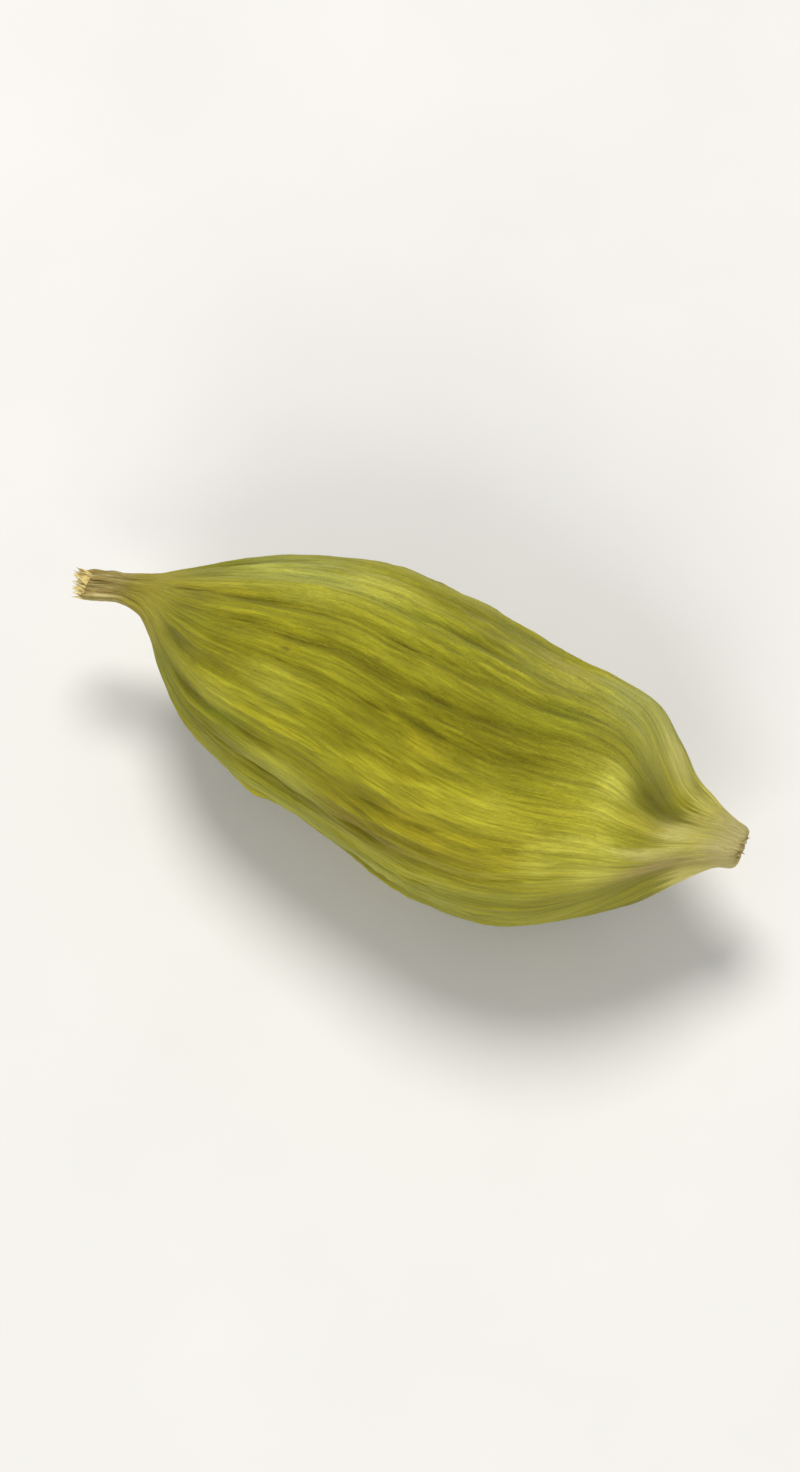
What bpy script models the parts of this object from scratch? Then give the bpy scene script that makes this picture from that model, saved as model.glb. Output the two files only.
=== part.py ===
"""A dried green cardamom pod, lying on its side.

The pod is one grown piece. Its husk is rounded and slightly three-sided, with ribs that run from end to end and
short folds between them. It narrows to the stub of its stalk at one end. At the other, three ridges meet in the
small dried scar of its flower.

X runs from the stalk to the flower end and Z is up. The origin is under the middle of the pod's box, on the
surface that the pod rests on. Lengths are in metres.
"""

import math
import random

import bmesh
import bpy
import numpy as np

MM = 0.001

# Driving dimensions of the pod
LENGTH = 18.5 * MM
WIDTH = 7.4 * MM
HEIGHT_TO_WIDTH = 0.97
CREST_HEIGHT = 0.055 * MM
FOLD_DEPTH = 0.115 * MM
DENT_DEPTH = 0.08 * MM
REST_CUT = 0.36 * MM
REST_BLEND = 0.07 * MM

# How finely the husk is divided
COLUMNS_PER_RIB = 6
ROWS = 44

# The outline from the stalk to the flower end. Each station holds the place along the length, the radius and
# the sideways shift of the middle, both as shares of half the width, and how three-sided the pod is there.
STATIONS = (
    (0.012, 0.000, 0.000, 0.00),  # middle of the stalk's torn end, slightly cupped
    (0.004, 0.055, 0.000, 0.00),
    (0.000, 0.098, 0.000, 0.02),  # rim of the torn end
    (0.020, 0.108, 0.035, 0.03),
    (0.050, 0.100, 0.076, 0.03),  # waist of the stub
    (0.080, 0.146, 0.088, 0.03),
    (0.112, 0.259, 0.060, 0.03),  # the stub spreads into the husk
    (0.150, 0.417, -0.007, 0.04),
    (0.210, 0.626, -0.067, 0.05),
    (0.300, 0.812, -0.085, 0.06),
    (0.405, 0.917, -0.103, 0.07),
    (0.510, 0.976, -0.196, 0.07),
    (0.600, 0.992, -0.277, 0.07),  # widest
    (0.690, 0.952, -0.305, 0.07),
    (0.765, 0.888, -0.251, 0.08),
    (0.818, 0.765, -0.201, 0.12),  # shoulder
    (0.862, 0.560, -0.213, 0.21),
    (0.900, 0.360, -0.204, 0.33),  # three ridges with hollows between them
    (0.938, 0.240, -0.135, 0.30),
    (0.970, 0.178, -0.082, 0.16),  # nib
    (0.992, 0.150, -0.066, 0.08),
    (1.000, 0.112, -0.056, 0.03),  # rim of the flower's scar
    (0.995, 0.058, -0.053, 0.00),
    (0.988, 0.000, -0.052, 0.00),  # middle of the scar
)

# The three ridges stand at this turn and at thirds of a turn from it, counted from +Y towards +Z
RIDGES = 3
FIRST_RIDGE_TURN = 25 / 360
RIDGE_SHARPENING = 0.18

# The husk twists a little between these places along its length
TWIST = -14 / 360
TWIST_START = 0.35
TWIST_END = 0.92

# How far round each fold between two ribs stands, in degrees from +Y towards +Z
FOLD_ANGLES = (
    6, 22, 40, 60, 80, 96, 110.5, 128, 146, 165, 184, 202, 220, 236, 252, 270, 286, 302, 318, 334, 350,
)
RIBS = len(FOLD_ANGLES)
FOLD_SHARPNESS = 1.5

# Places where a fold is deeper: its number, the place along, the half length and the added depth
DEEP_FOLDS = (
    (3, 0.56, 0.05, 0.6),
    (4, 0.13, 0.03, 0.6),
    (4, 0.28, 0.09, 1.2),
    (4, 0.48, 0.03, 0.6),
    (5, 0.36, 0.07, 1.0),
    (5, 0.46, 0.04, 0.5),
    (5, 0.555, 0.025, 0.9),
    (5, 0.63, 0.04, 0.5),
    (6, 0.33, 0.03, 0.6),
    (6, 0.48, 0.02, 0.7),
    (6, 0.575, 0.03, 1.0),
    (6, 0.69, 0.05, 0.5),
    (7, 0.165, 0.03, 1.0),
    (7, 0.24, 0.03, 0.5),
    (7, 0.45, 0.03, 0.8),
    (8, 0.20, 0.03, 0.7),
    (8, 0.30, 0.05, 0.3),
    (8, 0.53, 0.025, 1.0),
    (8, 0.60, 0.03, 0.6),
    (9, 0.35, 0.04, 0.8),
    (9, 0.52, 0.03, 0.7),
)
DRAWN_FOLDS = (0, 1, 2, 10, 11, 12, 13, 14, 15, 16, 17, 18, 19, 20)

# Places where a rib swells: its number, the place along, the half length and the added height
SWELLS = (
    (3, 0.35, 0.15, 1.0),
    (4, 0.43, 0.03, 1.0),
    (4, 0.54, 0.03, 0.8),
    (5, 0.28, 0.03, 0.8),
    (5, 0.405, 0.035, 1.0),
    (6, 0.335, 0.045, 1.4),
    (7, 0.25, 0.03, 1.2),
    (7, 0.525, 0.03, 1.0),
    (7, 0.64, 0.05, 0.8),
    (8, 0.39, 0.06, 1.2),
    (9, 0.63, 0.10, 0.8),
)
DRAWN_SWELLS = (0, 1, 2, 10, 11, 12, 13, 14, 15, 16, 17, 18, 19, 20)

# Seeded variation, so that no two ribs are alike: each pair holds the least and the most
SEED = 11604
CREST_RANGE = (0.5, 1.2)
FOLD_RANGE = (0.15, 0.4)
BUMPS_EACH = (1, 3)
BUMP_PLACE_RANGE = (0.15, 0.75)
BUMP_LENGTH_RANGE = (0.02, 0.07)
DEEP_FOLD_RANGE = (0.4, 1.1)
SWELL_RANGE = (0.5, 1.3)

# The relief fades towards the thin ends, and past the shoulder
RELIEF_FADE = 0.8
SHOULDER_START = 0.70
SHOULDER_END = 0.84
SHOULDER_RELIEF = 0.35

# Waves that lead the ribs astray and that dent the husk: how many, and how many fit around and along it
WANDER = 3 / 360
WANDER_WAVES = (6, 7, 1.6)
DENT_WAVES = (7, 5, 3.2)

HUSK_COLOUR = (0.36, 0.34, 0.055, 1.0)
HUSK_ROUGHNESS = 0.55
SMOOTH_ANGLE = math.radians(40)


def clear_scene():
    for obj in list(bpy.data.objects):
        bpy.data.objects.remove(obj, do_unlink=True)


def smooth_through(values, share):
    """The values at shares of the way along evenly spaced ones, on a smooth curve through them all."""
    values = np.asarray(values, float)
    last = len(values) - 1
    place = share * last
    start = np.minimum(place.astype(int), last - 1)
    step = place - start
    here = values[start]
    after = values[start + 1]
    slope_here = np.where(start > 0, (after - values[np.maximum(start - 1, 0)]) / 2, after - here)
    slope_after = np.where(start + 2 <= last, (values[np.minimum(start + 2, last)] - here) / 2, after - here)
    bend = 3 * (after - here) - 2 * slope_here - slope_after
    curl = 2 * (here - after) + slope_here + slope_after
    return here + step * (slope_here + step * (bend + step * curl))


def soft_step(value, low, high):
    """0 up to the low value and 1 from the high value on, with a smooth rise between them."""
    share = np.clip((value - low) / (high - low), 0, 1)
    return share * share * (3 - 2 * share)


def draw_waves(draw, count, most_around, most_along):
    """Smooth waves over the husk: how many fit around it and along it, their phase and their weight."""
    waves = []
    for number in range(count):
        around = draw.randint(1, most_around)
        along = draw.uniform(-most_along, most_along)
        waves.append((around, along, draw.uniform(0, 2 * math.pi), 1 / (1 + number / 2)))
    return waves


def wave_sum(waves, turn, share):
    """The waves added up, between about -1 and 1."""
    total = sum(weight for _, _, _, weight in waves)
    return sum(
        weight * np.sin(2 * math.pi * (around * turn + along * share) + phase)
        for around, along, phase, weight in waves
    ) / total


def draw_bumps(draw, numbers, strength_range):
    """A few soft bumps for each numbered rib or fold: its number, the place, the half length and the strength."""
    bumps = []
    for number in numbers:
        for _ in range(draw.randint(*BUMPS_EACH)):
            place = draw.uniform(*BUMP_PLACE_RANGE)
            bumps.append((number, place, draw.uniform(*BUMP_LENGTH_RANGE), draw.uniform(*strength_range)))
    return tuple(bumps)


def bump_sum(bumps, numbers, along):
    """The bumps added up, at points of these ribs or folds and at these places along the pod."""
    total = np.zeros_like(along)
    for number, place, half_length, strength in bumps:
        total += np.where(numbers == number, strength * np.exp(-(((along - place) / half_length) ** 2)), 0)
    return total


def rib_strengths(draw, place, along):
    """Height of the crests and depth of the folds, at places round the pod, counted in ribs, and along it."""
    crest_of = np.array([draw.uniform(*CREST_RANGE) for _ in range(RIBS)])
    fold_of = np.array([draw.uniform(*FOLD_RANGE) for _ in range(RIBS)])
    folds = DEEP_FOLDS + draw_bumps(draw, DRAWN_FOLDS, DEEP_FOLD_RANGE)
    swells = SWELLS + draw_bumps(draw, DRAWN_SWELLS, SWELL_RANGE)
    rib = np.floor(place).astype(int) % RIBS
    fold = np.round(place).astype(int) % RIBS
    crest = crest_of[rib] + bump_sum(swells, rib, along)
    depth = fold_of[fold] + bump_sum(folds, fold, along)
    return crest * CREST_HEIGHT, depth * FOLD_DEPTH


def three_sided(turn, along):
    """Between about -1 and 1, highest at the three ridges."""
    twist = TWIST * soft_step(along, TWIST_START, TWIST_END)
    angle = 2 * math.pi * RIDGES * (turn - FIRST_RIDGE_TURN - twist)
    return np.cos(angle) + RIDGE_SHARPENING * np.cos(2 * angle)


def husk_points(turn, share):
    """The husk's points, from their turns around the pod and their shares of the way along it."""
    along, radius, shift, lobing = (smooth_through(column, share) for column in zip(*STATIONS))
    half = WIDTH / 2
    fullness = np.maximum(radius, 0)
    draw = random.Random(SEED)
    wander = draw_waves(draw, *WANDER_WAVES)
    dents = draw_waves(draw, *DENT_WAVES)
    place = turn * RIBS
    crest, fold = rib_strengths(draw, place, along)

    rise = np.abs(np.sin(math.pi * place))
    fade = fullness**RELIEF_FADE * (1 - (1 - SHOULDER_RELIEF) * soft_step(along, SHOULDER_START, SHOULDER_END))
    relief = fade * (crest * rise - fold * (1 - rise) ** FOLD_SHARPNESS)
    dent = DENT_DEPTH * fullness * wave_sum(dents, turn, share)

    rib_turn = np.interp(place, range(RIBS + 1), FOLD_ANGLES + (FOLD_ANGLES[0] + 360,)) / 360
    bent_turn = rib_turn + TWIST * soft_step(along, TWIST_START, TWIST_END)
    bent_turn += WANDER * wave_sum(wander, turn, share)
    reach = fullness * half * (1 + lobing * three_sided(bent_turn, along)) + relief + dent
    angle = 2 * math.pi * bent_turn
    sideways = shift * half + reach * np.cos(angle)
    return np.stack([along * LENGTH, sideways, HEIGHT_TO_WIDTH * reach * np.sin(angle)], axis=1)


def flattened(height, floor):
    """Heights above the floor after the underside is pressed flat, with a soft edge round the flat spot."""
    above = height - floor
    pressed = np.where(above < REST_BLEND, (above + REST_BLEND) ** 2 / (4 * REST_BLEND), above)
    return np.where(above <= -REST_BLEND, 0.0, pressed)


def stand_on_origin(points):
    """Presses the flat spot that the pod rests on, and brings the origin under the middle of its box."""
    points[:, 2] = flattened(points[:, 2], points[:, 2].min() + REST_CUT)
    for axis in (0, 1):
        points[:, axis] -= (points[:, axis].min() + points[:, axis].max()) / 2


def husk_material():
    material = bpy.data.materials.new("husk")
    material.use_nodes = True
    shader = material.node_tree.nodes["Principled BSDF"]
    shader.inputs["Base Color"].default_value = HUSK_COLOUR
    shader.inputs["Roughness"].default_value = HUSK_ROUGHNESS
    shader.inputs["Metallic"].default_value = 0.0
    material.diffuse_color = HUSK_COLOUR
    return material


def make_pod(collection):
    """A sphere whose columns become the ribs, and whose poles become the torn stalk and the flower's scar."""
    sphere = bmesh.new()
    bmesh.ops.create_uvsphere(sphere, u_segments=RIBS * COLUMNS_PER_RIB, v_segments=ROWS, radius=1.0)
    on_sphere = np.array([vertex.co for vertex in sphere.verts])
    turn = np.arctan2(on_sphere[:, 1], on_sphere[:, 0]) / (2 * math.pi) % 1
    share = 1 - np.arccos(np.clip(on_sphere[:, 2], -1, 1)) / math.pi
    points = husk_points(turn, share)
    stand_on_origin(points)
    for vertex, point in zip(sphere.verts, points):
        vertex.co = point
    mesh = bpy.data.meshes.new("cardamom_pod")
    sphere.to_mesh(mesh)
    sphere.free()
    mesh.materials.append(husk_material())
    mesh.shade_smooth()
    mesh.set_sharp_from_angle(angle=SMOOTH_ANGLE)
    pod = bpy.data.objects.new("cardamom_pod", mesh)
    collection.objects.link(pod)


def main():
    clear_scene()
    collection = bpy.data.collections.new("green_cardamom_pod")
    bpy.context.scene.collection.children.link(collection)
    make_pod(collection)


main()
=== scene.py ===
"""The looks of a dried green cardamom pod: its ribbed husk, its torn stalk and its flower's dried scar.

The husk comes from the same formula as the solid that it stands for, more finely divided and with sharper
folds, and its skin's relief and colours follow the ribs and the grain.
"""

import math
import random

import bmesh
import bpy
import numpy as np
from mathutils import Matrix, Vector

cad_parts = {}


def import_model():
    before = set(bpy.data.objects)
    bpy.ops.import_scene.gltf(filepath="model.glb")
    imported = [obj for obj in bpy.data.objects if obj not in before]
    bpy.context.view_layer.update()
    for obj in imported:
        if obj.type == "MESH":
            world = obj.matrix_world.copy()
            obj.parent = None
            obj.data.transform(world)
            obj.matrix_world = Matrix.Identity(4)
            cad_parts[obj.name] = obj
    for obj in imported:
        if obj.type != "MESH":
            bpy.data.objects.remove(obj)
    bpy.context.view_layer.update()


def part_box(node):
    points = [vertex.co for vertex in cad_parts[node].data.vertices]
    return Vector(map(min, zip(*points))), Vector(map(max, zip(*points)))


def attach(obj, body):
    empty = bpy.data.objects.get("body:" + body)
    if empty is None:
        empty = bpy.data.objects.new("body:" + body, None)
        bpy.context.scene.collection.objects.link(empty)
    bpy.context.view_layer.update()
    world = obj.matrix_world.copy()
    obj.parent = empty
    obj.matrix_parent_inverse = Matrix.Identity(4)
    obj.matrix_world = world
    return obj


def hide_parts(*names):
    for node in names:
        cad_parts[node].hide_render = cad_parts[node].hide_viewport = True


MM = 0.001

# The husk's form, with the same values as the solid that it stands for
LENGTH = 18.5 * MM
WIDTH = 7.4 * MM
HEIGHT_TO_WIDTH = 0.97
CREST_HEIGHT = 0.055 * MM
FOLD_DEPTH = 0.115 * MM
DENT_DEPTH = 0.08 * MM
REST_BLEND = 0.07 * MM

# The outline from the stalk to the flower end. Each station holds the place along the length, the radius and
# the sideways shift of the middle, both as shares of half the width, and how three-sided the pod is there.
STATIONS = (
    (0.012, 0.000, 0.000, 0.00),  # middle of the stalk's torn end, slightly cupped
    (0.004, 0.055, 0.000, 0.00),
    (0.000, 0.098, 0.000, 0.02),  # rim of the torn end
    (0.020, 0.108, 0.035, 0.03),
    (0.050, 0.100, 0.076, 0.03),  # waist of the stub
    (0.080, 0.146, 0.088, 0.03),
    (0.112, 0.259, 0.060, 0.03),  # the stub spreads into the husk
    (0.150, 0.417, -0.007, 0.04),
    (0.210, 0.626, -0.067, 0.05),
    (0.300, 0.812, -0.085, 0.06),
    (0.405, 0.917, -0.103, 0.07),
    (0.510, 0.976, -0.196, 0.07),
    (0.600, 0.992, -0.277, 0.07),  # widest
    (0.690, 0.952, -0.305, 0.07),
    (0.765, 0.888, -0.251, 0.08),
    (0.818, 0.765, -0.201, 0.12),  # shoulder
    (0.862, 0.560, -0.213, 0.21),
    (0.900, 0.360, -0.204, 0.33),  # three ridges with hollows between them
    (0.938, 0.240, -0.135, 0.30),
    (0.970, 0.178, -0.082, 0.16),  # nib
    (0.992, 0.150, -0.066, 0.08),
    (1.000, 0.112, -0.056, 0.03),  # rim of the flower's scar
    (0.995, 0.058, -0.053, 0.00),
    (0.988, 0.000, -0.052, 0.00),  # middle of the scar
)

# The three ridges stand at this turn and at thirds of a turn from it, counted from +Y towards +Z
RIDGES = 3
FIRST_RIDGE_TURN = 25 / 360
RIDGE_SHARPENING = 0.18

# The husk twists a little between these places along its length
TWIST = -14 / 360
TWIST_START = 0.35
TWIST_END = 0.92

# How far round each fold between two ribs stands, in degrees from +Y towards +Z
FOLD_ANGLES = (
    6, 22, 40, 60, 80, 96, 110.5, 128, 146, 165, 184, 202, 220, 236, 252, 270, 286, 302, 318, 334, 350,
)
RIBS = len(FOLD_ANGLES)

# Places where a fold is deeper: its number, the place along, the half length and the added depth
DEEP_FOLDS = (
    (3, 0.56, 0.05, 0.6),
    (4, 0.13, 0.03, 0.6),
    (4, 0.28, 0.09, 1.2),
    (4, 0.48, 0.03, 0.6),
    (5, 0.36, 0.07, 1.0),
    (5, 0.46, 0.04, 0.5),
    (5, 0.555, 0.025, 0.9),
    (5, 0.63, 0.04, 0.5),
    (6, 0.33, 0.03, 0.6),
    (6, 0.48, 0.02, 0.7),
    (6, 0.575, 0.03, 1.0),
    (6, 0.69, 0.05, 0.5),
    (7, 0.165, 0.03, 1.0),
    (7, 0.24, 0.03, 0.5),
    (7, 0.45, 0.03, 0.8),
    (8, 0.20, 0.03, 0.7),
    (8, 0.30, 0.05, 0.3),
    (8, 0.53, 0.025, 1.0),
    (8, 0.60, 0.03, 0.6),
    (9, 0.35, 0.04, 0.8),
    (9, 0.52, 0.03, 0.7),
)
DRAWN_FOLDS = (0, 1, 2, 10, 11, 12, 13, 14, 15, 16, 17, 18, 19, 20)

# Places where a rib swells: its number, the place along, the half length and the added height
SWELLS = (
    (3, 0.35, 0.15, 1.0),
    (4, 0.43, 0.03, 1.0),
    (4, 0.54, 0.03, 0.8),
    (5, 0.28, 0.03, 0.8),
    (5, 0.405, 0.035, 1.0),
    (6, 0.335, 0.045, 1.4),
    (7, 0.25, 0.03, 1.2),
    (7, 0.525, 0.03, 1.0),
    (7, 0.64, 0.05, 0.8),
    (8, 0.39, 0.06, 1.2),
    (9, 0.63, 0.10, 0.8),
)
DRAWN_SWELLS = (0, 1, 2, 10, 11, 12, 13, 14, 15, 16, 17, 18, 19, 20)

# Seeded variation, so that no two ribs are alike: each pair holds the least and the most
SEED = 11604
CREST_RANGE = (0.5, 1.2)
FOLD_RANGE = (0.15, 0.4)
BUMPS_EACH = (1, 3)
BUMP_PLACE_RANGE = (0.15, 0.75)
BUMP_LENGTH_RANGE = (0.02, 0.07)
DEEP_FOLD_RANGE = (0.4, 1.1)
SWELL_RANGE = (0.5, 1.3)

# The relief fades towards the thin ends, and past the shoulder
RELIEF_FADE = 0.8
SHOULDER_START = 0.70
SHOULDER_END = 0.84
SHOULDER_RELIEF = 0.35

# Waves that lead the ribs astray and that dent the husk: how many, and how many fit around and along it
WANDER = 3 / 360
WANDER_WAVES = (6, 7, 1.6)
DENT_WAVES = (7, 5, 3.2)

# How finely the husk is divided here
FINE_COLUMNS = RIBS * 22
FINE_ROWS = 208

# Soft tints on the husk: degrees round it, place along, half width in degrees, half length and strength. The
# spots of one tint add up where they meet, up to the strongest.
# Most tints are the husk's own colours; the bright spots are painted light, and the olive spots marked below
# are painted shade.
STRONGEST_TINT = 1.5
TINTS = {
    "gold": (
        (142, 0.74, 26, 0.11, 0.9),
        (140, 0.60, 9, 0.07, 0.7),
        (128, 0.52, 8, 0.05, 0.5),
        (104, 0.31, 12, 0.05, 0.4),
        (250, 0.45, 30, 0.15, 0.6),
        (330, 0.65, 25, 0.12, 0.6),
    ),
    "olive": (
        (102, 0.63, 20, 0.13, 1.0),
        (108, 0.54, 15, 0.07, 0.5),
        (101, 0.24, 14, 0.06, 0.7),
        (108, 0.165, 22, 0.03, 0.7),
        (124, 0.47, 12, 0.07, 0.6),
        (84, 0.22, 8, 0.07, 0.6),
        # Painted shadow on the lower side near the neck
        (149, 0.215, 9, 0.035, 1.5),
        (124, 0.165, 6, 0.02, 0.7),
        # Painted shade in the hollows near the nib: this spot and the next
        (74, 0.880, 15, 0.026, 1.4),
        (89, 0.862, 8, 0.025, 0.7),
        (198, 0.58, 20, 0.22, 1.0),
        (290, 0.5, 30, 0.2, 0.6),
    ),
    "pale": (
        (58, 0.30, 13, 0.13, 1.2),
        (44, 0.27, 10, 0.11, 1.0),
        (32, 0.80, 12, 0.06, 1.3),
        (192, 0.50, 7, 0.24, 1.0),
        (48, 0.68, 14, 0.10, 0.5),
        (60, 0.79, 18, 0.035, 0.4),
        (48, 0.84, 14, 0.05, 0.8),
        (172, 0.62, 9, 0.12, 0.5),
        (122, 0.335, 8, 0.04, 0.5),
        (138, 0.25, 6, 0.035, 0.5),
        (156, 0.38, 6, 0.06, 0.6),
        (0, 0.45, 20, 0.2, 0.4),
    ),
    "green": (
        (62, 0.47, 9, 0.07, 0.8),
        (100, 0.19, 12, 0.04, 0.6),
        (62, 0.57, 8, 0.03, 0.6),
        (170, 0.15, 25, 0.05, 0.7),
        (186, 0.40, 14, 0.12, 0.6),
        (320, 0.35, 25, 0.12, 0.7),
        (230, 0.7, 25, 0.1, 0.6),
    ),
    "ochre": (
        (152, 0.52, 11, 0.06, 1.5),
        (150, 0.63, 6, 0.06, 0.5),
        (128, 0.56, 5, 0.03, 0.5),
        (320, 0.55, 20, 0.08, 0.6),
    ),
    # Painted light: lighter spots where light falls on the shoulder, beside the hollows near the nib, and on
    # the upper band
    "bright": (
        (141, 0.842, 22, 0.036, 1.5),
        (96, 0.827, 13, 0.022, 1.5),
        (100, 0.795, 18, 0.04, 0.4),
        (142, 0.775, 12, 0.03, 0.8),
        (134, 0.82, 8, 0.045, 0.6),
        (106, 0.88, 8, 0.03, 0.6),
        (126, 0.69, 9, 0.05, 0.4),
        (52, 0.42, 9, 0.06, 0.5),
    ),
    "tan": (
        (158, 0.905, 16, 0.035, 1.1),
        (145, 0.925, 11, 0.020, 1.3),
        (180, 0.93, 26, 0.04, 0.8),
        (40, 0.70, 9, 0.04, 0.25),
        (200, 0.24, 10, 0.06, 0.4),
        (300, 0.9, 30, 0.04, 0.6),
    ),
    "cream": (
        (104, 0.918, 18, 0.022, 1.2),
        (28, 0.875, 10, 0.035, 0.7),
        (240, 0.94, 40, 0.02, 0.7),
    ),
}


# The part's form


def smooth_through(values, share):
    """The values at shares of the way along evenly spaced ones, on a smooth curve through them all."""
    values = np.asarray(values, float)
    last = len(values) - 1
    place = share * last
    start = np.minimum(place.astype(int), last - 1)
    step = place - start
    here = values[start]
    after = values[start + 1]
    slope_here = np.where(start > 0, (after - values[np.maximum(start - 1, 0)]) / 2, after - here)
    slope_after = np.where(start + 2 <= last, (values[np.minimum(start + 2, last)] - here) / 2, after - here)
    bend = 3 * (after - here) - 2 * slope_here - slope_after
    curl = 2 * (here - after) + slope_here + slope_after
    return here + step * (slope_here + step * (bend + step * curl))


def soft_step(value, low, high):
    """0 up to the low value and 1 from the high value on, with a smooth rise between them."""
    share = np.clip((value - low) / (high - low), 0, 1)
    return share * share * (3 - 2 * share)


def draw_waves(draw, count, most_around, most_along):
    """Smooth waves over the husk: how many fit around it and along it, their phase and their weight."""
    waves = []
    for number in range(count):
        around = draw.randint(1, most_around)
        along = draw.uniform(-most_along, most_along)
        waves.append((around, along, draw.uniform(0, 2 * math.pi), 1 / (1 + number / 2)))
    return waves


def wave_sum(waves, turn, share):
    """The waves added up, between about -1 and 1."""
    total = sum(weight for _, _, _, weight in waves)
    return sum(
        weight * np.sin(2 * math.pi * (around * turn + along * share) + phase)
        for around, along, phase, weight in waves
    ) / total


def draw_bumps(draw, numbers, strength_range):
    """A few soft bumps for each numbered rib or fold: its number, the place, half length and strength."""
    bumps = []
    for number in numbers:
        for _ in range(draw.randint(*BUMPS_EACH)):
            place = draw.uniform(*BUMP_PLACE_RANGE)
            bumps.append((number, place, draw.uniform(*BUMP_LENGTH_RANGE), draw.uniform(*strength_range)))
    return tuple(bumps)


def bump_sum(bumps, numbers, along):
    """The bumps added up, at points of these ribs or folds and at these places along the pod."""
    total = np.zeros_like(along)
    for number, place, half_length, strength in bumps:
        total += np.where(numbers == number, strength * np.exp(-(((along - place) / half_length) ** 2)), 0)
    return total


def rib_strengths(draw, place, along):
    """Height of the crests and depth of the folds, at places round the pod, counted in ribs, and along it."""
    crest_of = np.array([draw.uniform(*CREST_RANGE) for _ in range(RIBS)])
    fold_of = np.array([draw.uniform(*FOLD_RANGE) for _ in range(RIBS)])
    folds = DEEP_FOLDS + draw_bumps(draw, DRAWN_FOLDS, DEEP_FOLD_RANGE)
    swells = SWELLS + draw_bumps(draw, DRAWN_SWELLS, SWELL_RANGE)
    rib = np.floor(place).astype(int) % RIBS
    fold = np.round(place).astype(int) % RIBS
    crest = crest_of[rib] + bump_sum(swells, rib, along)
    depth = fold_of[fold] + bump_sum(folds, fold, along)
    return crest * CREST_HEIGHT, depth * FOLD_DEPTH


def three_sided(turn, along):
    """Between about -1 and 1, highest at the three ridges."""
    twist = TWIST * soft_step(along, TWIST_START, TWIST_END)
    angle = 2 * math.pi * RIDGES * (turn - FIRST_RIDGE_TURN - twist)
    return np.cos(angle) + RIDGE_SHARPENING * np.cos(2 * angle)


def tint_amount(spots, turn, along):
    """How strong a tint is at each point: soft oval spots added up."""
    total = np.zeros_like(along)
    for angle, place, half_angle, half_length, strength in spots:
        apart = 1 - np.cos(2 * math.pi * turn - math.radians(angle))
        near = np.exp(-apart / (1 - math.cos(math.radians(half_angle))))
        total += strength * near * np.exp(-(((along - place) / half_length) ** 2))
    return np.clip(total, 0, STRONGEST_TINT)


def keep(mesh, name, values):
    """Stores one number or one vector for each vertex."""
    kind, field = ("FLOAT_VECTOR", "vector") if values.ndim == 2 else ("FLOAT", "value")
    attribute = mesh.attributes.new(name, kind, "POINT")
    attribute.data.foreach_set(field, values.astype(np.float32).ravel())


def points_of(mesh):
    """The places of the mesh's vertices, one row for each."""
    flat = np.empty(len(mesh.vertices) * 3, np.float32)
    mesh.vertices.foreach_get("co", flat)
    return flat.reshape(-1, 3).astype(float)


def fine_sphere(name):
    """A finely divided ball whose columns become the ribs and whose poles become the two ends."""
    ball = bmesh.new()
    bmesh.ops.create_uvsphere(ball, u_segments=FINE_COLUMNS, v_segments=FINE_ROWS, radius=1.0)
    mesh = bpy.data.meshes.new(name)
    ball.to_mesh(mesh)
    ball.free()
    return mesh


def smooth_body():
    """The pod without its ribs, and for each vertex what the ribs, the fibres and the colours need."""
    mesh = fine_sphere("smooth_body")
    on_sphere = points_of(mesh)
    turn = np.arctan2(on_sphere[:, 1], on_sphere[:, 0]) / (2 * math.pi) % 1
    share = 1 - np.arccos(np.clip(on_sphere[:, 2], -1, 1)) / math.pi
    along, radius, shift, lobing = (smooth_through(column, share) for column in zip(*STATIONS))
    half = WIDTH / 2
    fullness = np.maximum(radius, 0)
    draw = random.Random(SEED)
    wander = draw_waves(draw, *WANDER_WAVES)
    dents = draw_waves(draw, *DENT_WAVES)
    place = turn * RIBS
    crest, fold = rib_strengths(draw, place, along)
    lower_relief = (1 - SHOULDER_RELIEF) * soft_step(along, SHOULDER_START, SHOULDER_END)
    fade = fullness**RELIEF_FADE * (1 - lower_relief)

    rib_turn = np.interp(place, range(RIBS + 1), FOLD_ANGLES + (FOLD_ANGLES[0] + 360,)) / 360
    bent_turn = rib_turn + TWIST * soft_step(along, TWIST_START, TWIST_END)
    bent_turn += WANDER * wave_sum(wander, turn, share)
    ridge = three_sided(bent_turn, along)
    reach = fullness * half * (1 + lobing * ridge) + DENT_DEPTH * fullness * wave_sum(dents, turn, share)
    angle = 2 * math.pi * bent_turn
    outward = np.stack([np.zeros_like(angle), np.cos(angle), HEIGHT_TO_WIDTH * np.sin(angle)], axis=1)
    body = outward * reach[:, None]
    body[:, 0] = along * LENGTH
    body[:, 1] += shift * half
    mesh.vertices.foreach_set("co", body.astype(np.float32).ravel())

    keep(mesh, "rib_place", place)
    keep(mesh, "crest", crest)
    keep(mesh, "fold", fold)
    keep(mesh, "relief_share", fade)
    keep(mesh, "outward", outward)
    keep(mesh, "along", along)
    keep(mesh, "ridge", ridge)
    round_grain = [half * np.cos(angle), half * np.sin(angle), along * LENGTH]
    keep(mesh, "grain", np.stack(round_grain, axis=1) / MM)
    for name, spots in TINTS.items():
        keep(mesh, name, tint_amount(spots, bent_turn, along))
    return mesh


# Node trees, for shapes and for materials alike


def put(tree, kind, given=None, **settings):
    """A new node with these settings. Inputs go by name or number: sockets are linked, the rest is set."""
    node = tree.nodes.new(kind)
    for name, value in settings.items():
        setattr(node, name, value)
    for name, value in (given or {}).items():
        if isinstance(value, bpy.types.NodeSocket):
            tree.links.new(value, node.inputs[name])
        else:
            node.inputs[name].default_value = value
    return node


def number(tree, operation, *values):
    """The result of a sum or function of one number or more."""
    given = dict(enumerate(values))
    return put(tree, "ShaderNodeMath", given, operation=operation).outputs[0]


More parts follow.
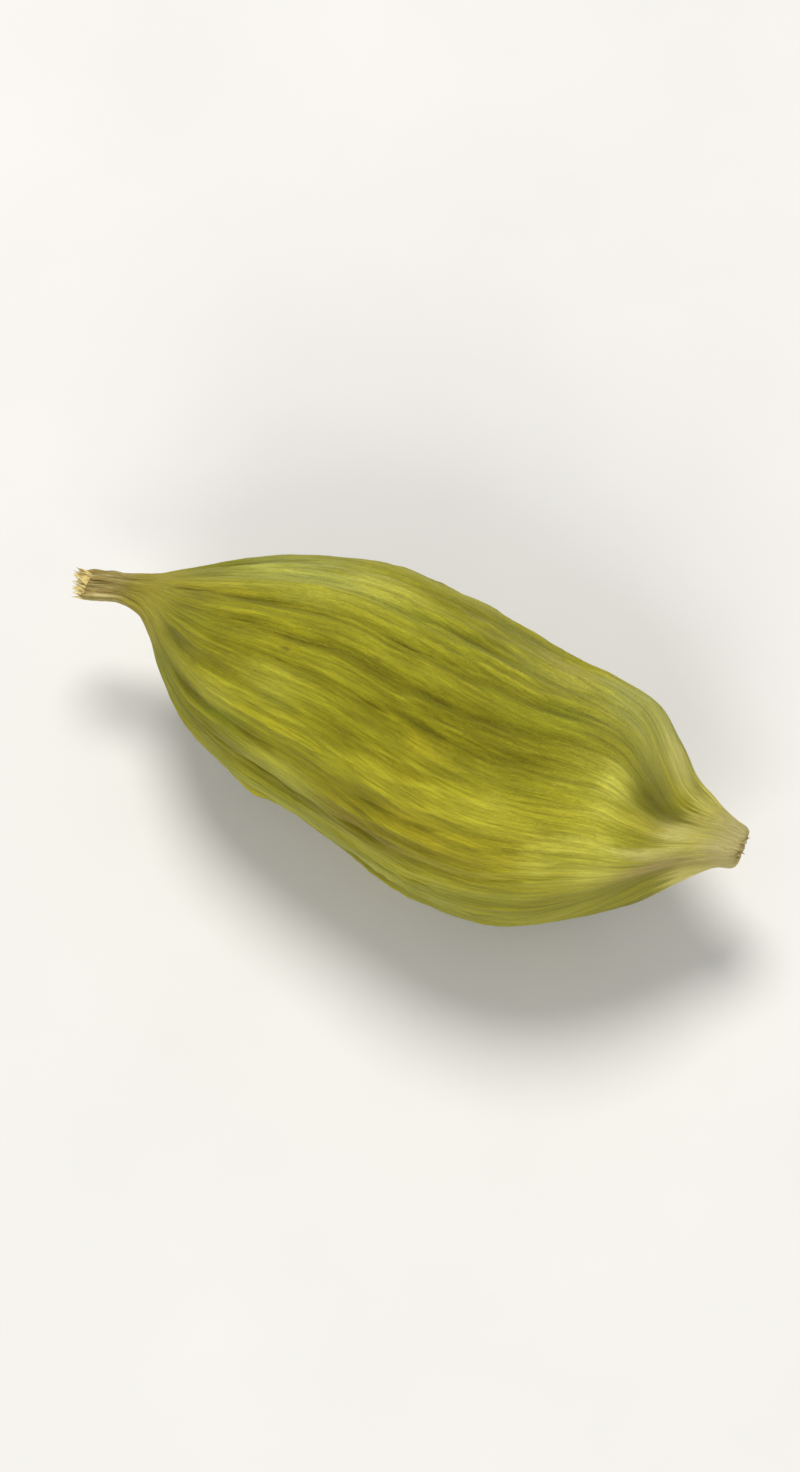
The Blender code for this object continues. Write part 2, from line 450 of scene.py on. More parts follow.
def times(tree, *values):
    """The values multiplied together."""
    product = values[0]
    for value in values[1:]:
        product = number(tree, "MULTIPLY", product, value)
    return product


def plus(tree, *values):
    """The values added up."""
    total = values[0]
    for value in values[1:]:
        total = number(tree, "ADD", total, value)
    return total


def stretched(tree, place, scale):
    """The place with each direction scaled, so that a pattern on it is drawn out where the scale is small."""
    return put(tree, "ShaderNodeVectorMath", {0: place, 1: scale}, operation="MULTIPLY").outputs[0]


def noise(tree, place, scale, detail, roughness=0.55):
    """A soft random pattern between 0 and 1, mostly near the middle."""
    given = {"Vector": place, "Scale": scale, "Detail": detail, "Roughness": roughness}
    return put(tree, "ShaderNodeTexNoise", given).outputs[0]


def grained(tree, place, grain, detail, roughness=0.55):
    """A soft random pattern drawn out by its grain."""
    return noise(tree, stretched(tree, place, grain), 1.0, detail, roughness)


def spread(tree, value, low, high, to_low=0.0, to_high=1.0):
    """The value from low to high brought to another range, with soft ends."""
    given = {"Value": value, "From Min": low, "From Max": high, "To Min": to_low, "To Max": to_high}
    return put(tree, "ShaderNodeMapRange", given, interpolation_type="SMOOTHSTEP").outputs[0]


def attribute_in(tree, name, kind="FLOAT"):
    """A stored attribute, read in a shape tree."""
    return put(tree, "GeometryNodeInputNamedAttribute", {"Name": name}, data_type=kind).outputs[0]


def stored(tree, shape, name, value):
    """The shape with a number kept at each of its points."""
    given = {"Geometry": shape, "Name": name, "Value": value}
    return put(tree, "GeometryNodeStoreNamedAttribute", given, data_type="FLOAT", domain="POINT").outputs[0]


def new_shape_tree(name, inputs):
    """A Geometry Nodes tree with named inputs. Returns it, its input sockets by name and its last node."""
    tree = bpy.data.node_groups.new(name, "GeometryNodeTree")
    tree.interface.new_socket(name="Geometry", in_out="INPUT", socket_type="NodeSocketGeometry")
    tree.interface.new_socket(name="Geometry", in_out="OUTPUT", socket_type="NodeSocketGeometry")
    for label, kind in inputs.items():
        tree.interface.new_socket(name=label, in_out="INPUT", socket_type=kind)
    start = tree.nodes.new("NodeGroupInput")
    end = tree.nodes.new("NodeGroupOutput")
    return tree, start.outputs, end


def finish_shape_tree(tree, shape, material, end):
    """Makes the shape real, smooth and of this material, and gives it to the tree's last node."""
    real = put(tree, "GeometryNodeRealizeInstances", {"Geometry": shape}).outputs[0]
    smooth = put(tree, "GeometryNodeSetShadeSmooth", {"Geometry": real}).outputs[0]
    dressed = put(tree, "GeometryNodeSetMaterial", {"Geometry": smooth, "Material": material}).outputs[0]
    tree.links.new(dressed, end.inputs[0])


def made_by(tree, mesh, name, values):
    """A plain mesh object: what the tree makes of a mesh with these values of its named inputs."""
    holder = bpy.data.objects.new(name + "_start", mesh)
    bpy.context.scene.collection.objects.link(holder)
    modifier = holder.modifiers.new("shape", "NODES")
    modifier.node_group = tree
    sockets = {s.name: s.identifier for s in tree.interface.items_tree if s.in_out == "INPUT"}
    for label, value in values.items():
        modifier[sockets[label]] = value
    graph = bpy.context.evaluated_depsgraph_get()
    made = bpy.data.meshes.new_from_object(holder.evaluated_get(graph), depsgraph=graph)
    bpy.data.objects.remove(holder, do_unlink=True)
    made.name = name
    piece = bpy.data.objects.new(name, made)
    bpy.context.scene.collection.objects.link(piece)
    return piece


# The ribs and the fine relief of the husk

# The folds are sharper and deeper here than the solid's
RELIEF_VALUES = {
    "Fold Sharpness": 2.2,
    "Fold Gain": 1.3,
    "Vein Height": 0.100 * MM,
    "Keel Height": 0.09 * MM,
    "Fibre Height": 0.075 * MM,
    "Wrinkle Height": 0.060 * MM,
    "Stalk Fibre Height": 0.42 * MM,
    "Torn Depth": 0.80 * MM,
    "Nib Share": 0.45,
    "Seed": 4.0,
}

# The grain of each pattern: how many waves fit in a millimetre, both ways across the pod and then along it
RIB_WANDER_GRAIN = (0.9, 0.9, 0.5)
FOLD_PATCH_GRAIN = (1.2, 1.2, 0.5)
VEIN_WANDER_GRAIN = (1.4, 1.4, 0.25)
VEIN_PATCH_GRAIN = (1.1, 1.1, 0.3)
FIBRE_GRAIN = (5.0, 5.0, 0.45)
WRINKLE_GRAIN = (1.5, 1.5, 1.3)
STALK_FIBRE_GRAIN = (0.8, 0.8, 0.5)
TORN_GRAIN = (1.5, 1.5, 0.2)

RIB_WANDER = 0.45
VEINS_PER_RIB = 3
VEIN_WANDER = 1.6
VEIN_SHARPNESS = 2.0

# Ranges for spread: where a thing is least and where it is most, and then how little and how much that is,
# unless it is 0 and 1. Two follow a pattern, the next one the three ridges, and the rest the pod's length.
FOLD_PATCHES = (-0.2, 0.2, 0.65, 1.25)
VEIN_PATCHES = (-0.12, 0.15)
KEEL_CREST = (0.95, 1.17)
STALK_RELIEF = (0.13, 0.05)
NIB_RELIEF = (0.93, 0.98)
KEEL_RISE = (0.83, 0.89)
KEEL_FALL = (0.985, 0.93)
STALK_TEAR = (0.025, 0.0)
NIB_TEAR = (0.98, 1.0, 0.0, 0.2)


def relief_tree(material):
    """Raises the ribs, the fibres along them, the faint wrinkles of the dried skin and the torn rims."""
    tree, given, end = new_shape_tree("husk_relief", dict.fromkeys(RELIEF_VALUES, "NodeSocketFloat"))
    grain = attribute_in(tree, "grain", "FLOAT_VECTOR")
    along = attribute_in(tree, "along")
    seeded = put(tree, "ShaderNodeVectorMath", {0: grain, 1: given["Seed"]}, operation="ADD").outputs[0]

    def uneven(grain_of, detail):
        """A pattern of this grain, as much below 0 as above it."""
        return number(tree, "SUBTRACT", grained(tree, seeded, grain_of, detail), 0.5)

    rib_wander = times(tree, uneven(RIB_WANDER_GRAIN, 2.0), RIB_WANDER)
    across = plus(tree, attribute_in(tree, "rib_place"), rib_wander)
    rise = number(tree, "ABSOLUTE", number(tree, "SINE", times(tree, across, math.pi)))
    valley = number(tree, "POWER", number(tree, "SUBTRACT", 1.0, rise), given["Fold Sharpness"])
    patchy = spread(tree, uneven(FOLD_PATCH_GRAIN, 2.0), *FOLD_PATCHES)
    crests = times(tree, attribute_in(tree, "crest"), rise)
    folds = times(tree, attribute_in(tree, "fold"), valley, patchy, given["Fold Gain"])
    ribs = number(tree, "SUBTRACT", crests, folds)

    vein_wander = times(tree, uneven(VEIN_WANDER_GRAIN, 2.0), VEIN_WANDER)
    vein_place = plus(tree, times(tree, across, VEINS_PER_RIB), vein_wander)
    off_vein = number(tree, "ABSOLUTE", number(tree, "SINE", times(tree, vein_place, math.pi)))
    vein = number(tree, "POWER", number(tree, "SUBTRACT", 1.0, off_vein), VEIN_SHARPNESS)
    vein = times(tree, vein, spread(tree, uneven(VEIN_PATCH_GRAIN, 2.0), *VEIN_PATCHES))
    veins = times(tree, vein, given["Vein Height"])
    fibres = times(tree, uneven(FIBRE_GRAIN, 4.0), given["Fibre Height"])
    wrinkles = times(tree, uneven(WRINKLE_GRAIN, 4.0), given["Wrinkle Height"])
    on_husk = times(tree, plus(tree, ribs, veins, fibres, wrinkles), attribute_in(tree, "relief_share"))

    at_nib = times(tree, spread(tree, along, *NIB_RELIEF), given["Nib Share"])
    ends = plus(tree, spread(tree, along, *STALK_RELIEF), at_nib)
    on_ends = times(tree, uneven(STALK_FIBRE_GRAIN, 3.0), given["Stalk Fibre Height"], ends)
    near_nib = times(tree, spread(tree, along, *KEEL_RISE), spread(tree, along, *KEEL_FALL))
    on_keel = spread(tree, attribute_in(tree, "ridge"), *KEEL_CREST)
    keels = times(tree, on_keel, near_nib, given["Keel Height"])
    lift = plus(tree, on_husk, on_ends, keels)
    outward = attribute_in(tree, "outward", "FLOAT_VECTOR")
    lifted = put(tree, "ShaderNodeVectorMath", {0: outward, "Scale": lift}, operation="SCALE").outputs[0]

    ragged = times(tree, uneven(TORN_GRAIN, 3.0), given["Torn Depth"])
    at_rims = plus(tree, spread(tree, along, *STALK_TEAR), spread(tree, along, *NIB_TEAR))
    endways = put(tree, "ShaderNodeCombineXYZ", {"X": times(tree, ragged, at_rims)}).outputs[0]
    offset = put(tree, "ShaderNodeVectorMath", {0: lifted, 1: endways}, operation="ADD").outputs[0]
    moved = put(tree, "GeometryNodeSetPosition", {"Geometry": given["Geometry"], "Offset": offset}).outputs[0]
    shape = stored(tree, moved, "rib_height", times(tree, ribs, 1 / CREST_HEIGHT))
    shape = stored(tree, shape, "vein", vein)
    finish_shape_tree(tree, shape, material, end)
    return tree


# The torn fibres at the two ends

STALK_FIBRES = {
    "Least Length": 0.20 * MM,
    "Most Length": 0.50 * MM,
    "Thickness": 0.055 * MM,
    "Splay": 0.35,
    "Curl": 0.26 * MM,
    "Seed": 11,
}
NIB_FIBRES = {
    "Least Length": 0.10 * MM,
    "Most Length": 0.20 * MM,
    "Thickness": 0.055 * MM,
    "Splay": 0.5,
    "Curl": 0.12 * MM,
    "Seed": 23,
}
STALK_FIBRE_COUNT = 90
NIB_FIBRE_COUNT = 24

# How far inside the rim the fibres are rooted, and over how much of the rim's width
STALK_ROOT = 0.18 * MM
NIB_ROOT = 0.14 * MM
ROOT_SPREAD = 0.42
LEAST_AREA = 0.02

STRAND_STEPS = 8
STRAND_SIDES = 5
STRAND_TIP = 0.12
CURLS_PER_M = 2.2 / MM


def drawn_number(tree, least, most, seed, offset):
    """A number for each point, drawn between two values."""
    at = number(tree, "ADD", seed, offset)
    return put(tree, "FunctionNodeRandomValue", {2: least, 3: most, 8: at}, data_type="FLOAT").outputs[1]


def frayed_tree(material):
    """A thin, tapering and slightly curled strand from each point of the start, splayed away from +X."""
    kinds = dict.fromkeys(STALK_FIBRES, "NodeSocketFloat")
    kinds["Seed"] = "NodeSocketInt"
    tree, given, end = new_shape_tree("frayed_fibres", kinds)
    seed = given["Seed"]
    line = put(tree, "GeometryNodeCurvePrimitiveLine", {"Start": (0, 0, 0), "End": (1, 0, 0)}).outputs[0]
    line = put(tree, "GeometryNodeResampleCurve", {"Curve": line, "Count": STRAND_STEPS}).outputs[0]
    away = number(tree, "MULTIPLY", given["Splay"], -1.0)
    turned = put(tree, "ShaderNodeCombineXYZ", {
        "Y": drawn_number(tree, away, given["Splay"], seed, 1),
        "Z": drawn_number(tree, away, given["Splay"], seed, 2),
    }).outputs[0]
    turned = put(tree, "FunctionNodeEulerToRotation", {0: turned}).outputs[0]
    size = drawn_number(tree, given["Least Length"], given["Most Length"], seed, 3)
    strands = put(tree, "GeometryNodeInstanceOnPoints", {
        "Points": given["Geometry"], "Instance": line, "Rotation": turned, "Scale": size,
    }).outputs[0]
    strands = put(tree, "GeometryNodeRealizeInstances", {"Geometry": strands}).outputs[0]
    place = tree.nodes.new("GeometryNodeInputPosition").outputs[0]
    seen = put(tree, "ShaderNodeVectorMath", {0: place, "Scale": CURLS_PER_M}, operation="SCALE").outputs[0]
    seen = put(tree, "ShaderNodeVectorMath", {0: seen, 1: seed}, operation="ADD").outputs[0]
    wander = put(tree, "ShaderNodeTexNoise", {"Vector": seen, "Scale": 1.0, "Detail": 2.0}).outputs["Color"]
    middle = {0: wander, 1: (0.5, 0.5, 0.5)}
    wander = put(tree, "ShaderNodeVectorMath", middle, operation="SUBTRACT").outputs[0]
    factor = tree.nodes.new("GeometryNodeSplineParameter").outputs["Factor"]
    amount = times(tree, given["Curl"], factor)
    bend = put(tree, "ShaderNodeVectorMath", {0: wander, "Scale": amount}, operation="SCALE").outputs[0]
    strands = put(tree, "GeometryNodeSetPosition", {"Geometry": strands, "Offset": bend}).outputs[0]
    ring = put(tree, "GeometryNodeCurvePrimitiveCircle", {"Resolution": STRAND_SIDES, 4: 1.0}).outputs[0]
    taper = times(tree, given["Thickness"], spread(tree, factor, 0.0, 1.0, 1.0, STRAND_TIP))
    skin = put(tree, "GeometryNodeCurveToMesh", {
        "Curve": strands, "Profile Curve": ring, "Scale": taper, "Fill Caps": True,
    }).outputs[0]
    finish_shape_tree(tree, skin, material, end)
    return tree


def root_points(name, count, reach, seed):
    """Loose points spread over a small disc that faces along the pod."""
    draw = random.Random(seed)
    mesh = bpy.data.meshes.new(name)
    mesh.vertices.add(count)
    points = []
    for _ in range(count):
        angle = draw.uniform(0, 2 * math.pi)
        away = reach * math.sqrt(draw.uniform(LEAST_AREA, 1))
        points.append((0, away * math.cos(angle), away * math.sin(angle)))
    mesh.vertices.foreach_set("co", np.array(points, np.float32).ravel())
    return mesh


def frayed_end(name, husk, at_stalk, values, count, root, tree):
    """Torn fibres in one end of the husk, rooted a little inside its rim and pointing away from the pod."""
    place = points_of(husk.data)
    way = -1 if at_stalk else 1
    tip = (place[:, 0] * way).max()
    rim = place[place[:, 0] * way > tip - root]
    middle = (rim.max(axis=0) + rim.min(axis=0)) / 2
    reach = ROOT_SPREAD * (rim[:, 1].max() - rim[:, 1].min())
    piece = made_by(tree, root_points(name + "_roots", count, reach, values["Seed"]), name, values)
    strands = points_of(piece.data)
    strands[:, 0] = way * (strands[:, 0] + tip - root)
    strands[:, 1:] += middle[1:]
    piece.data.vertices.foreach_set("co", strands.astype(np.float32).ravel())
    if at_stalk:
        piece.data.flip_normals()
    piece.data.update()
    return piece


def flattened(height, floor):
    """Heights above the floor after the underside is pressed flat, with a soft edge round the flat spot."""
    above = height - floor
    pressed = np.where(above < REST_BLEND, (above + REST_BLEND) ** 2 / (4 * REST_BLEND), above)
    return np.where(above <= -REST_BLEND, 0.0, pressed)


def stand_in_box(piece, lowest, highest):
    """Presses the flat spot and brings the husk to the solid's own box, on the surface that it rests on."""
    place = points_of(piece.data)
    place[:, 2] = flattened(place[:, 2], place[:, 2].max() - highest.z)
    for axis in (0, 1):
        middle = (place[:, axis].min() + place[:, axis].max()) / 2
        place[:, axis] += (lowest[axis] + highest[axis]) / 2 - middle
    piece.data.vertices.foreach_set("co", place.astype(np.float32).ravel())
    piece.data.update()


# Materials

OLIVE = (0.205, 0.190, 0.006)
# Deep olive: the husk's own olive tint, and also painted shade in the hollows near the nib
DEEP_OLIVE_AND_SHADE = (0.158, 0.144, 0.002)
YELLOW_GREEN = (0.290, 0.275, 0.010)
LEAF_GREEN = (0.205, 0.228, 0.010)
GOLD = (0.420, 0.355, 0.016)
PALE_GREEN = (0.400, 0.410, 0.085)
OCHRE = (0.165, 0.125, 0.003)
# Painted light laid on the shoulder, near the nib and on the upper band
PAINTED_LIGHT_COLOUR = (0.600, 0.565, 0.075)
# Painted shade for the folds between the ribs
FOLD_SHADE = (0.115, 0.098, 0.002)
CREST = (0.400, 0.370, 0.022)
STRAW = (0.640, 0.565, 0.120)
PALE_STRAW = (0.730, 0.620, 0.265)
NECK = (0.500, 0.415, 0.050)
KEEL = (0.760, 0.690, 0.190)
CREAM = (0.780, 0.700, 0.220)
ROSY_TAN = (0.450, 0.335, 0.100)
ROSY = (0.560, 0.415, 0.135)
TAN = (0.390, 0.280, 0.080)
SPECK = (0.130, 0.080, 0.020)

# The tints' colours: those of the green husk, with painted light and painted shade among them, and those that
# lie over its straw-coloured ends
TINT_COLOURS = {
    "gold": GOLD,
    "olive": DEEP_OLIVE_AND_SHADE,
    "pale": PALE_GREEN,
    "green": LEAF_GREEN,
    "ochre": OCHRE,
    "bright": PAINTED_LIGHT_COLOUR,
}
END_TINT_COLOURS = {"tan": ROSY_TAN, "cream": CREAM}

# Colours that follow a pattern, each with the pattern's value where it is purest
PATCH_COLOURS = ((0.28, LEAF_GREEN), (0.42, OLIVE), (0.58, YELLOW_GREEN), (0.70, GOLD))
BARK_COLOURS = ((0.34, TAN), (0.48, ROSY), (0.62, PALE_STRAW))
TORN_COLOURS = ((0.34, TAN), (0.50, ROSY), (0.64, PALE_STRAW))
FLOOR_COLOURS = ((0.3, (0.66, 0.65, 0.63)), (0.7, (0.69, 0.68, 0.66)))

# The grain of each pattern in the skin, given as for the relief
PATCH_GRAIN = (0.32, 0.32, 0.20)
BLOTCH_GRAIN = (1.7, 1.7, 0.5)
STREAK_GRAIN = (6.0, 6.0, 0.5)
THREAD_GRAIN = (15.0, 15.0, 0.7)
BARK_GRAIN = (1.2, 1.2, 1.0)
SPECK_GRAIN = (1.0, 1.0, 0.45)
STRIA_GRAIN = (7.0, 7.0, 0.45)
CRINKLE_GRAIN = (3.0, 3.0, 5.0)
SPECK_SCALE = 1.3
LEAST_SPECK = 0.001
PAPER_SCALE = 14.0
BLOTCHES_PER_M = 2.4 / MM
MOTTLES_PER_M = 120.0

# Ranges for spread. These follow the height of the ribs, or a pattern in the skin.
CREST_PALING = (0.1, 1.5, 0.0, 0.42)
# The second range paints shade into the folds, darker where the ribs sink deepest
FOLD_SHADE_SPREAD = (0.1, -2.4, 0.0, 0.62)
TINT_EVENNESS = (0.3, 0.7, 0.35, 1.15)
STREAK_LIGHT = (0.30, 0.70, 0.80, 1.22)
THREAD_LIGHT = (0.35, 0.65, 0.88, 1.12)
SKIN_ROUGHNESS = (0.3, 0.7, 0.48, 0.64)
KEEL_STREAKS = (0.3, 0.6, 0.7, 1.0)
SPECK_CHANCE = (0.35, 1.0)
SPECK_SIZE = (0.3, 0.7, 0.05, 0.20)
SPECK_EDGE = (1.0, 0.4, 0.0, 0.5)
VEIN_PALING = 0.50

# These follow the three ridges, and the rest the pod's length
HOLLOW_SIDES = (0.3, -0.7)
KEEL_EDGE = (1.12, 1.24)
HOLLOW_START = (0.835, 0.865)
NECK_FADE = (0.150, 0.085, 0.0, 0.9)
BARK_FADE = (0.075, 0.03)
STRAW_FADE = (0.905, 0.94)
PALE_STRAW_FADE = (0.945, 0.98, 0.0, 0.9)
# How strong the painted shade in the hollows between the ridges is; the two ranges above say where it lies
HOLLOW_SHADE_AMOUNT = 0.3

# Where the straw-coloured keels start on the ridges, and how fast they widen towards the nib
KEEL_START = 0.868
KEEL_WIDENING = 1.8
KEEL_WANDER = 0.05

# How ragged the edges of the ends' colours are, and how much sooner the straw colour starts where the husk is
# tinted cream, and later where it is olive
RAGGEDNESS = 0.12
STRAW_SHIFT = 0.018

SKIN_SHADING = {
    "Specular IOR Level": 0.18,
    "Specular Tint": (1.0, 0.96, 0.70, 1.0),
    "Subsurface Weight": 0.10,
    "Subsurface Radius": (1.0, 0.9, 0.25),
    "Subsurface Scale": 0.4 * MM,
    "Sheen Weight": 0.22,
    "Sheen Roughness": 0.22,
    "Sheen Tint": (0.95, 0.92, 0.35, 1.0),
}
FIBRE_SHADING = {"Specular IOR Level": 0.25, "Sheen Weight": 0.2}

# How much each fine pattern adds to the skin's bumps, beside the striae, and how deep they are
THREAD_SHARE = 0.5
CRINKLE_SHARE = 0.35
PAPER_SHARE = 0.25
BUMP_DEPTH = 0.12 * MM


def ramp(tree, factor, stops):
    """A colour for each value of the factor: stops are pairs of a place and a colour."""
    node = put(tree, "ShaderNodeValToRGB", {"Fac": factor})
    marks = node.color_ramp.elements
    while len(marks) < len(stops):
        marks.new(0.5)
    for mark, (place, colour) in zip(marks, stops):
        mark.position = place
        mark.color = (*colour, 1.0)
    return node.outputs[0]


def mixed(tree, factor, under, over):
    """Two colours mixed by a factor; each is a socket or three numbers."""
    def whole(colour):
        """A socket as it is, or three numbers with the opacity that the node wants."""
        return colour if isinstance(colour, bpy.types.NodeSocket) else (*colour, 1.0)

    given = {0: factor, 6: whole(under), 7: whole(over)}
    return put(tree, "ShaderNodeMix", given, data_type="RGBA").outputs[2]


def brightened(tree, colour, factor):
    """The colour made lighter or darker by a factor."""
    return put(tree, "ShaderNodeVectorMath", {0: colour, "Scale": factor}, operation="SCALE").outputs[0]


def read(tree, name):
    """The outputs of a stored attribute: Fac for a number and Vector for a vector."""
    return put(tree, "ShaderNodeAttribute", attribute_name=name).outputs


def tinted(tree, colour, tints, uneven):
    """The colour with each of the tints over it, where the tint is stored, a little unevenly."""
    for name, tint in tints.items():
        colour = mixed(tree, times(tree, read(tree, name)["Fac"], uneven), colour, tint)
    return colour


def new_material(name, roughness, shading=None):
    """A new material, its tree and its shader's inputs, with these of them set by name."""
    material = bpy.data.materials.new(name)
    material.use_nodes = True
    shader = material.node_tree.nodes["Principled BSDF"].inputs
    shader["Roughness"].default_value = roughness
    for label, value in (shading or {}).items():
        shader[label].default_value = value
    return material, material.node_tree, shader


def ribbed_colour(tree, grain, uneven):
    """The husk's greens, paler on the crests and the veins, with painted shade darkening the folds."""
    patches = grained(tree, grain, PATCH_GRAIN, 3.0, 0.5)
    colour = tinted(tree, ramp(tree, patches, PATCH_COLOURS), TINT_COLOURS, uneven)
    rib = read(tree, "rib_height")["Fac"]
    colour = mixed(tree, spread(tree, rib, *CREST_PALING), colour, CREST)
    # Painted shade: the folds are darkened where the ribs sink
    colour = mixed(tree, spread(tree, rib, *FOLD_SHADE_SPREAD), colour, FOLD_SHADE)
    return mixed(tree, times(tree, read(tree, "vein")["Fac"], VEIN_PALING), colour, CREST)


def with_ends(tree, colour, grain, streaks, uneven):
    """The colour with painted shade in the hollows, the keels, the neck, the stalk and the straw-coloured nib
    over it.
    """
    along = read(tree, "along")["Fac"]
    ridge = read(tree, "ridge")["Fac"]
    ragged = number(tree, "SUBTRACT", streaks, 0.5)
    place = plus(tree, along, times(tree, ragged, RAGGEDNESS))
    # Painted shade in the hollows between the three ridges near the nib
    hollow_shade = times(tree, spread(tree, ridge, *HOLLOW_SIDES), spread(tree, place, *HOLLOW_START))
    colour = mixed(tree, times(tree, hollow_shade, HOLLOW_SHADE_AMOUNT), colour, DEEP_OLIVE_AND_SHADE)
    steady = plus(tree, along, times(tree, ragged, KEEL_WANDER))
    widening = times(tree, number(tree, "SUBTRACT", steady, KEEL_START), KEEL_WIDENING)
    on_keel = spread(tree, plus(tree, ridge, widening), *KEEL_EDGE)
    colour = mixed(tree, times(tree, on_keel, spread(tree, streaks, *KEEL_STREAKS)), colour, KEEL)
    colour = mixed(tree, spread(tree, place, *NECK_FADE), colour, NECK)
    bark = grained(tree, grain, BARK_GRAIN, 3.0, 0.6)
    colour = mixed(tree, spread(tree, place, *BARK_FADE), colour, ramp(tree, bark, BARK_COLOURS))
    sooner = number(tree, "SUBTRACT", read(tree, "cream")["Fac"], read(tree, "olive")["Fac"])
    ripe = plus(tree, place, times(tree, sooner, STRAW_SHIFT))
    colour = mixed(tree, spread(tree, ripe, *STRAW_FADE), colour, STRAW)
    colour = mixed(tree, spread(tree, place, *PALE_STRAW_FADE), colour, PALE_STRAW)
    return tinted(tree, colour, END_TINT_COLOURS, uneven)


def with_specks(tree, colour, grain, streaks):
    """The colour with a few small brown specks over it, drawn out along the grain."""
    given = {"Vector": stretched(tree, grain, SPECK_GRAIN), "Scale": SPECK_SCALE}
    cells = put(tree, "ShaderNodeTexVoronoi", given).outputs
    drawn = put(tree, "ShaderNodeSeparateColor", {"Color": cells["Color"]}).outputs[0]
    size = times(tree, spread(tree, drawn, *SPECK_CHANCE), spread(tree, streaks, *SPECK_SIZE))
    away = number(tree, "DIVIDE", cells["Distance"], plus(tree, size, LEAST_SPECK))
    return mixed(tree, spread(tree, away, *SPECK_EDGE), colour, SPECK)


def husk_material():
    """Yellow-green dried skin: painted shade in the folds and hollows, painted light near the shoulder and
    nib, pale crests, fibre streaks, straw ends and a few brown specks.
    """
    material, tree, shader = new_material("dried_husk", 0.55, SKIN_SHADING)
    grain = read(tree, "grain")["Vector"]
    uneven = spread(tree, grained(tree, grain, BLOTCH_GRAIN, 4.0, 0.6), *TINT_EVENNESS)
    streaks = grained(tree, grain, STREAK_GRAIN, 5.0, 0.65)
    threads = grained(tree, grain, THREAD_GRAIN, 3.0, 0.7)
    colour = ribbed_colour(tree, grain, uneven)
    colour = brightened(tree, colour, spread(tree, streaks, *STREAK_LIGHT))
    colour = brightened(tree, colour, spread(tree, threads, *THREAD_LIGHT))
    colour = with_ends(tree, colour, grain, streaks, uneven)
    colour = with_specks(tree, colour, grain, streaks)
    tree.links.new(colour, shader["Base Color"])
    tree.links.new(spread(tree, streaks, *SKIN_ROUGHNESS), shader["Roughness"])

    striae = grained(tree, grain, STRIA_GRAIN, 5.0, 0.7)
    crinkles = grained(tree, grain, CRINKLE_GRAIN, 3.0, 0.6)
    paper = noise(tree, grain, PAPER_SCALE, 3.0, 0.6)
    height = plus(
        tree,
        striae,
        times(tree, threads, THREAD_SHARE),
        times(tree, crinkles, CRINKLE_SHARE),
        times(tree, paper, PAPER_SHARE),
    )
    bump = put(tree, "ShaderNodeBump", {"Height": height, "Strength": 1.0, "Distance": BUMP_DEPTH})
    tree.links.new(bump.outputs[0], shader["Normal"])
    return material


def fibre_material():
    """Dry straw-coloured fibre, browner in places."""
    material, tree, shader = new_material("torn_fibre", 0.62, FIBRE_SHADING)
    place = put(tree, "ShaderNodeTexCoord").outputs["Object"]
    blotches = noise(tree, place, BLOTCHES_PER_M, 3.0, 0.6)
    tree.links.new(ramp(tree, blotches, TORN_COLOURS), shader["Base Color"])
    return material


# Surroundings

FLOOR_RADIUS = 0.8
ROOM_COLOUR = (0.96, 0.97, 1.0, 1.0)
ROOM_STRENGTH = 0.36

# Each light's place, width, power and colour
LIGHTS = {
    "key": ((-0.08, 0.12, 0.30), 0.16, 0.92, (1.0, 0.98, 0.94)),
    "fill": ((0.07, -0.28, 0.18), 0.20, 0.68, (1.0, 0.99, 0.97)),
}

# Where the camera stands, as the photo's does, and how wide a view it has
CAMERA_AZIMUTH = math.radians(24)
CAMERA_ELEVATION = math.radians(62)
CAMERA_LENS = 200.0
SENSOR = 36.0
FRAME_WIDTH_PX = 800
FRAME_HEIGHT_PX = 1472
VIEW_WIDTH = 20.6 * MM


def area_light(name, place, size, power, colour):
    """A round lamp that points at the pod."""
    lamp = bpy.data.lights.new(name, "AREA")
    lamp.shape = "DISK"
    lamp.size = size
    lamp.energy = power
    lamp.color = colour
    holder = bpy.data.objects.new(name, lamp)
    holder.location = place
    holder.rotation_euler = (-Vector(place)).to_track_quat("-Z", "Y").to_euler()
    bpy.context.scene.collection.objects.link(holder)


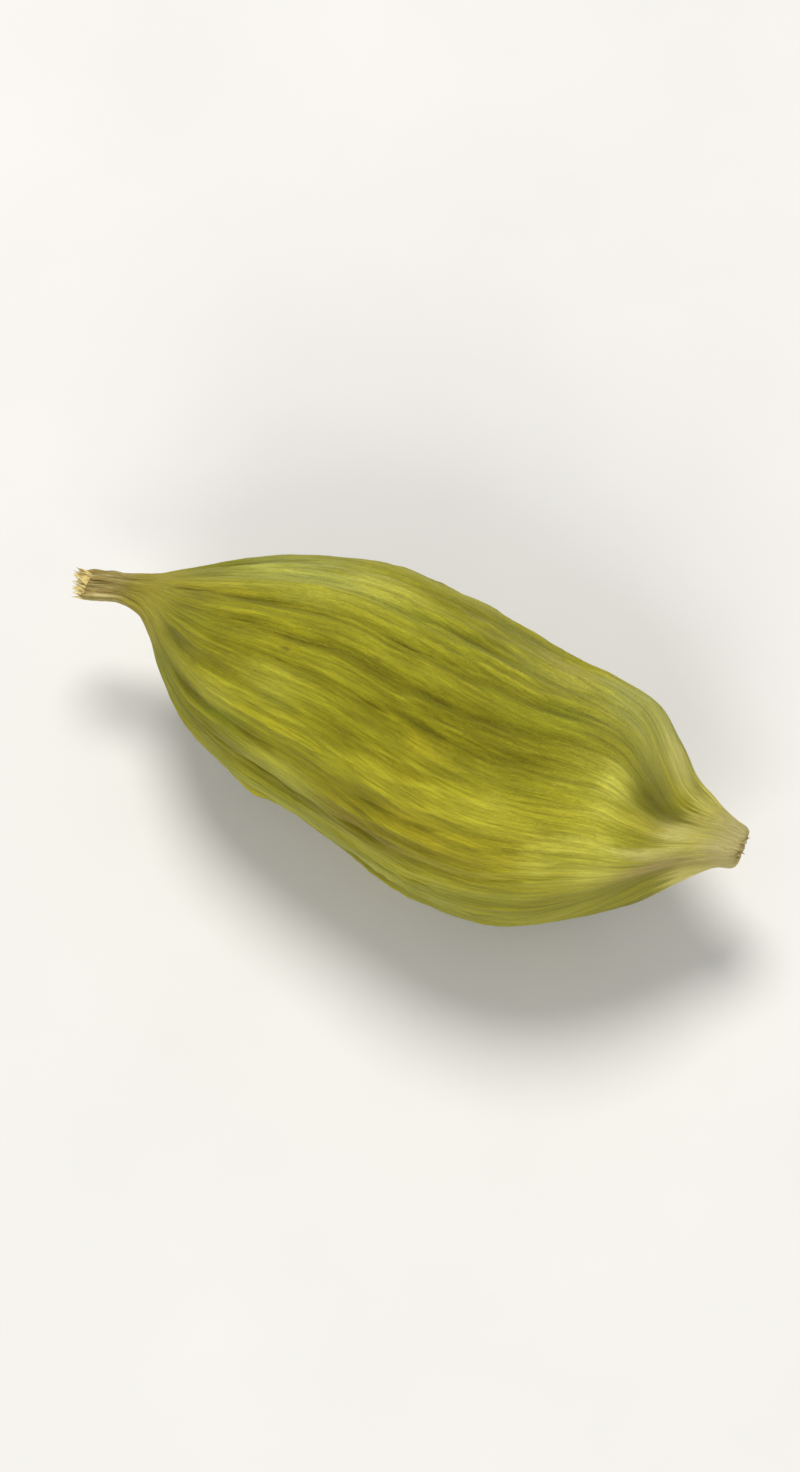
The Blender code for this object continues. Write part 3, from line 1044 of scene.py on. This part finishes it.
def pale_floor():
    """A wide pale surface with the faintest mottling, under the pod."""
    sheet = bmesh.new()
    bmesh.ops.create_circle(sheet, cap_ends=True, segments=96, radius=FLOOR_RADIUS)
    mesh = bpy.data.meshes.new("floor")
    sheet.to_mesh(mesh)
    sheet.free()
    floor = bpy.data.objects.new("floor", mesh)
    bpy.context.scene.collection.objects.link(floor)
    material, tree, shader = new_material("pale_floor", 0.7)
    place = put(tree, "ShaderNodeTexCoord").outputs["Object"]
    mottle = noise(tree, place, MOTTLES_PER_M, 3.0)
    tree.links.new(ramp(tree, mottle, FLOOR_COLOURS), shader["Base Color"])
    mesh.materials.append(material)


def soft_daylight():
    """Even light from all round, as in a bright room."""
    world = bpy.data.worlds.new("soft_room")
    world.use_nodes = True
    background = world.node_tree.nodes["Background"]
    background.inputs["Color"].default_value = ROOM_COLOUR
    background.inputs["Strength"].default_value = ROOM_STRENGTH
    bpy.context.scene.world = world


def place_camera(lowest, highest):
    """A camera that looks at the pod's middle, as far away as its view's width asks."""
    middle = (lowest + highest) / 2
    back = Vector((
        math.sin(CAMERA_AZIMUTH) * math.cos(CAMERA_ELEVATION),
        -math.cos(CAMERA_AZIMUTH) * math.cos(CAMERA_ELEVATION),
        math.sin(CAMERA_ELEVATION),
    ))
    width_on_sensor = SENSOR * FRAME_WIDTH_PX / FRAME_HEIGHT_PX
    distance = VIEW_WIDTH * CAMERA_LENS / width_on_sensor
    lens = bpy.data.cameras.new("camera")
    lens.lens = CAMERA_LENS
    lens.sensor_width = SENSOR
    lens.clip_start = 1 * MM
    lens.clip_end = 5.0
    camera = bpy.data.objects.new("camera", lens)
    camera.location = middle + back * distance
    camera.rotation_euler = (-back).to_track_quat("-Z", "Y").to_euler()
    bpy.context.scene.collection.objects.link(camera)
    bpy.context.scene.camera = camera


def main():
    """Dresses the pod, brings it to the solid's box, lays it on a pale floor in soft light and aims the
    camera at it.
    """
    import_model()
    lowest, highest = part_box("cardamom_pod")
    bpy.context.scene.view_settings.view_transform = "Standard"

    husk = made_by(relief_tree(husk_material()), smooth_body(), "husk", RELIEF_VALUES)
    stand_in_box(husk, lowest, highest)
    fibres = frayed_tree(fibre_material())
    stalk = frayed_end("stalk_fibres", husk, True, STALK_FIBRES, STALK_FIBRE_COUNT, STALK_ROOT, fibres)
    nib = frayed_end("nib_fibres", husk, False, NIB_FIBRES, NIB_FIBRE_COUNT, NIB_ROOT, fibres)
    for piece in (husk, stalk, nib):
        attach(piece, "root")
        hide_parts("cardamom_pod")

    pale_floor()
    soft_daylight()
    for name, settings in LIGHTS.items():
        area_light(name, *settings)
    place_camera(lowest, highest)


main()
